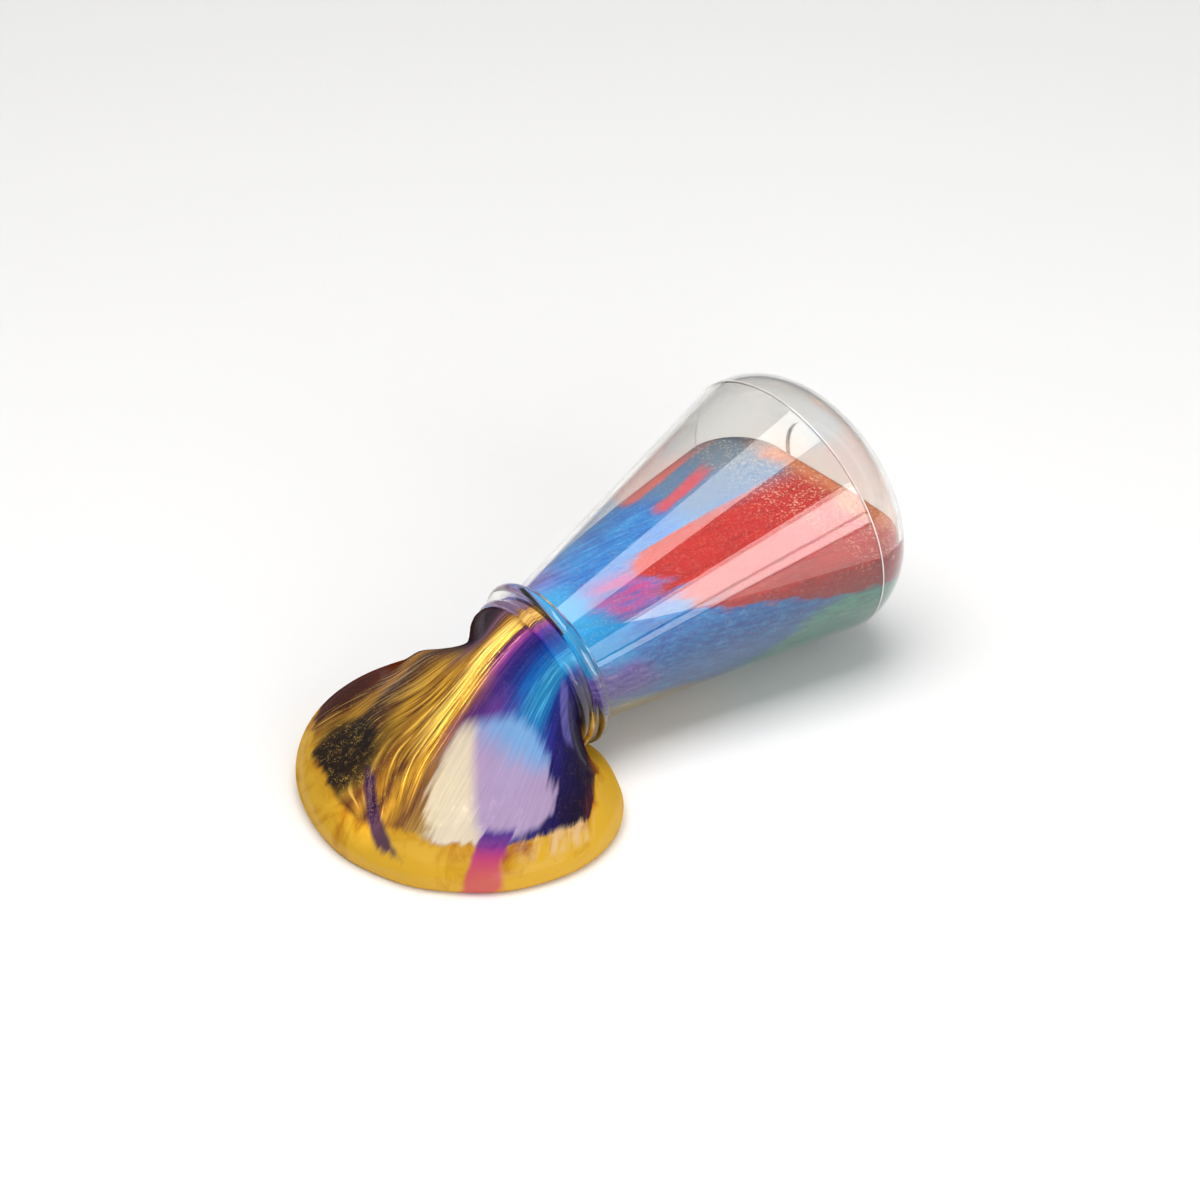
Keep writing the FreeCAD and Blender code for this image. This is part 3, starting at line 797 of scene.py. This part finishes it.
def poured_slime(name):
    recipe = Recipe(name, Specular_IOR_Level=0.0, Coat_Roughness=0.03, Coat_IOR=1.5)
    facing = recipe.node("ShaderNodeLayerWeight", None, {"Blend": 0.5}, 1)
    place = recipe.node("ShaderNodeTexCoord", output=3)
    round_share, flow, _ = recipe.axes(recipe.node("ShaderNodeUVMap", {"uv_map": "flow"}))
    turn = (round_share - 0.5) * 360
    fanned = turn - flow.rise(0.25, 0.65) * turn.rise(-20, 45) * turn.rise(130, 60) * 26
    fanned = fanned + flow.rise(0.6, 1.0) * turn.between(-28, 4, 16) * 12
    lane = fanned / 9
    drift = recipe.noise(recipe.point(lane * 0.5, flow * 3.2), 1, 2) - 0.5
    wavy = drift * (2 + flow * 16)
    streaks = recipe.noise(recipe.point(lane * 2.4, flow * 3), 1, 5, 0.6, 0.25)
    threads = recipe.noise(recipe.point(lane * 8, flow * 3.4), 1, 4, 0.62, 0.12)
    tear = (streaks - 0.5) * (6 + flow * 16)
    turn_share = (turn + wavy + tear * 0.8) / 360 + 0.5
    flow_torn = flow + (streaks - 0.5) * 0.10

    near_lip = recipe.ramp(turn_share, by_turn(LIP_COLOURS))
    falling = recipe.ramp(turn_share, by_turn(FALL_COLOURS))
    far_out = recipe.ramp(turn_share, by_turn(PUDDLE_COLOURS))
    colour = recipe.blend(flow_torn.rise(0.18, 0.36), near_lip, falling)
    colour = recipe.blend(flow_torn.rise(0.48, 0.68), colour, far_out)

    turned = turn + wavy * 0.5
    glints = turned.between(-56, -44, 4) * flow_torn.rise(0.5, 0.1) * threads.rise(0.5, 0.66)
    colour = recipe.blend(glints * 0.7, colour, tint("6cc4e4"))

    fan = turned.between(-14, 60, 6) * (1 - turned.between(14, 44, 4) * flow_torn.rise(0.62, 0.68))
    fan = fan * (1 - flow.rise(0.32, 0.18) * turned.rise(3, 10))
    pale_thread = fan * threads.rise(0.52, 0.66) * flow.rise(0.95, 0.85)
    dark_thread = fan * threads.rise(0.47, 0.34) * flow.rise(0.95, 0.85)
    colour = recipe.blend(pale_thread * 0.8, colour, tint("eec050"))
    colour = recipe.blend(dark_thread * 0.8, colour, tint("4a2414"))

    # A pale patch of lilac and cream on the fall and the puddle is a painted reflection: it stands
    # for the overhead light mirrored in the wet dome.
    painted_reflection = ((turned + 50 + tear + drift * 16) / 30) ** 2 + ((flow_torn - 0.59) / 0.29) ** 2
    painted_reflection = painted_reflection.rise(1.2, 0.75)
    painted_reflection_tone = (turned + 25 + (flow - 0.4) * 70).rise(-4, 4)
    painted_reflection_lilac = recipe.blend(flow_torn.rise(0.5, 0.36), tint("b49cbe"), tint("7ca8d8"))
    painted_reflection_colour = recipe.blend(painted_reflection_tone, painted_reflection_lilac, tint("e8d8b8"))
    colour = recipe.blend(painted_reflection * 0.9, colour, painted_reflection_colour)

    # A violet streak running down from just below the lip is a painted reflection, a lens-shaped
    # highlight.
    painted_lens_reflection = (abs(turned + 61 + (flow - 0.02) * 85).rise(6.5, 3)
              * flow_torn.between(0.03, 0.27, 0.03))
    colour = recipe.blend(painted_lens_reflection * 0.8, colour, tint("6c68b4"))
    colour = recipe.blend(flow.rise(0.0, -0.03) * turned.rise(5, 12), colour, tint("6c5478"))

    patch_reach = ((turned - 28) / 21) ** 2 + ((flow_torn - 0.78) / 0.15) ** 2
    glitter_patch = patch_reach.rise(1.3, 0.6)
    colour = recipe.blend(glitter_patch * 0.85, colour, tint("241812"))

    rim_start = 0.9 - turn.rise(0, -30) * 0.05 - turn.rise(-60, -80) * 0.04
    rim_start = rim_start - turn.rise(-98, -112) * 0.31
    rim = (flow_torn + drift * 0.06 - rim_start).rise(-0.012, 0.022)
    swirl = recipe.noise(place, 90, 5, 0.62, 1.2)
    rim_colour = recipe.ramp(swirl * 1.5 + (flow - rim_start) * 2.2, [
        (0.5, tint("7c340c")), (0.64, tint("a86814")), (0.8, tint("c28c1a")),
        (1.0, tint("d4a42c"))])
    colour = recipe.blend(rim, colour, rim_colour)
    tail = (abs(turned - 6 + (flow - 0.76) * 150).rise(6.5, 2.5)
            * flow_torn.between(0.74, 0.96, 0.02))
    colour = recipe.blend(tail * 0.9, colour, tint("30124c"))

    # Cream streaks by the rim are partly the slime's own cream and partly a painted highlight of
    # the overhead light.
    cream_and_painted_highlight = (turned.between(-102, -72, 4) * flow_torn.between(0.80, 0.955, 0.025)
             * streaks.rise(0.35, 0.62))
    colour = recipe.blend(cream_and_painted_highlight * 0.75, colour, tint("dcb88c"))
    tongue = (abs(turned + 61 + drift * 14).rise(7, 3.5 + flow.rise(0.95, 0.8) * 2)
              * flow_torn.rise(0.73, 0.80))
    tongue_colour = recipe.ramp(flow, [(0.78, tint("3c1c84")), (0.86, tint("7c2488")),
                                       (0.92, tint("b42c70")), (1.0, tint("c85a58"))])
    colour = recipe.blend(tongue * 0.95, colour, tongue_colour)

    flake = recipe.flakes(place, 3600)
    cluster = recipe.noise(place, 420, 3, 0.7).rise(0.42, 0.66)
    sparse = flake.rise(0.55, 0.95) * cluster * (0.06 + fan * 0.3 + glitter_patch * 0.6)
    colour = recipe.blend(sparse * (1 - rim), colour, tint("c8a24c"))
    shine = recipe.blend(1.0, colour, recipe.ramp(threads, [
        (0.32, (0.45, 0.45, 0.45, 1)), (0.68, (1.05, 1.05, 1.05, 1))]), "MULTIPLY")
    # At the rim, and mostly under the painted reflection, the thread streaks are left out.
    shine = recipe.blend(1 - (1 - rim) * (1 - painted_reflection * 0.75), shine, colour)
    metal = pale_thread * 0.45 + sparse * 0.5 + fan * 0.12
    relief = (threads * 0.5 + streaks) * (1 - rim * 0.9)
    return recipe.finish(Base_Color=shine, Metallic=metal, Roughness=0.42 - metal * 0.2,
                         Coat_Weight=facing.rise(0.85, 0.5) * 0.5,
                         Normal=recipe.bump(relief, 0.25, 0.0006))


# %% [markdown]
# The drip in the groove between the rings is plain gold slime, and the weld bead is painted pale, a
# painted highlight along the seam.

# %% Gold drip and the weld's painted highlight
def gold_slime(name):
    recipe = Recipe(name, Roughness=0.35, Coat_Weight=1.0, Coat_Roughness=0.04)
    place = recipe.node("ShaderNodeTexCoord", output=3)
    swirl = recipe.noise(place, 260, 4, 0.6, 0.6)
    colour = recipe.ramp(swirl, [(0.3, tint("8c5416")), (0.5, tint("d09a2c")),
                                 (0.7, tint("ecc668"))])
    return recipe.finish(Base_Color=colour, Metallic=swirl * 0.4,
                         Normal=recipe.bump(swirl, 0.2, 0.0004))


# The weld's pale colour is a painted highlight: the thin light line along the seam.
def pale_weld_painted_highlight(name):
    recipe = Recipe(name, Roughness=0.3, Coat_Weight=0.6)
    place = recipe.node("ShaderNodeTexCoord", output=3)
    cloud = recipe.noise(place, 300, 3)
    colour = recipe.ramp(cloud, [(0.3, tint("dedad2")), (0.7, tint("f6f4f0"))])
    return recipe.finish(Base_Color=colour, Normal=recipe.bump(cloud, 0.1, 0.0002))


# %% Giving out the materials
jar_wall.data.materials.append(clear_plastic("clear_plastic", 38))
cup_wall.data.materials.append(clear_plastic("clear_plastic_cup", 46))
filling.data.materials.append(slime_in_jar("layered_slime"))
spill.data.materials.append(poured_slime("poured_slime"))
drip.data.materials.append(gold_slime("gold_slime"))
bead.data.materials.append(pale_weld_painted_highlight("pale_weld_painted_highlight"))

# %% Ride and hand over
for piece in (jar_wall, cup_wall, bead, filling, spill, drip):
    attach(piece, "root")
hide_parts("jar_cone")
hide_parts("base_cup")
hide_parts("slime_green", "slime_red", "slime_blue")
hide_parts("slime_gold", "slime_purple")
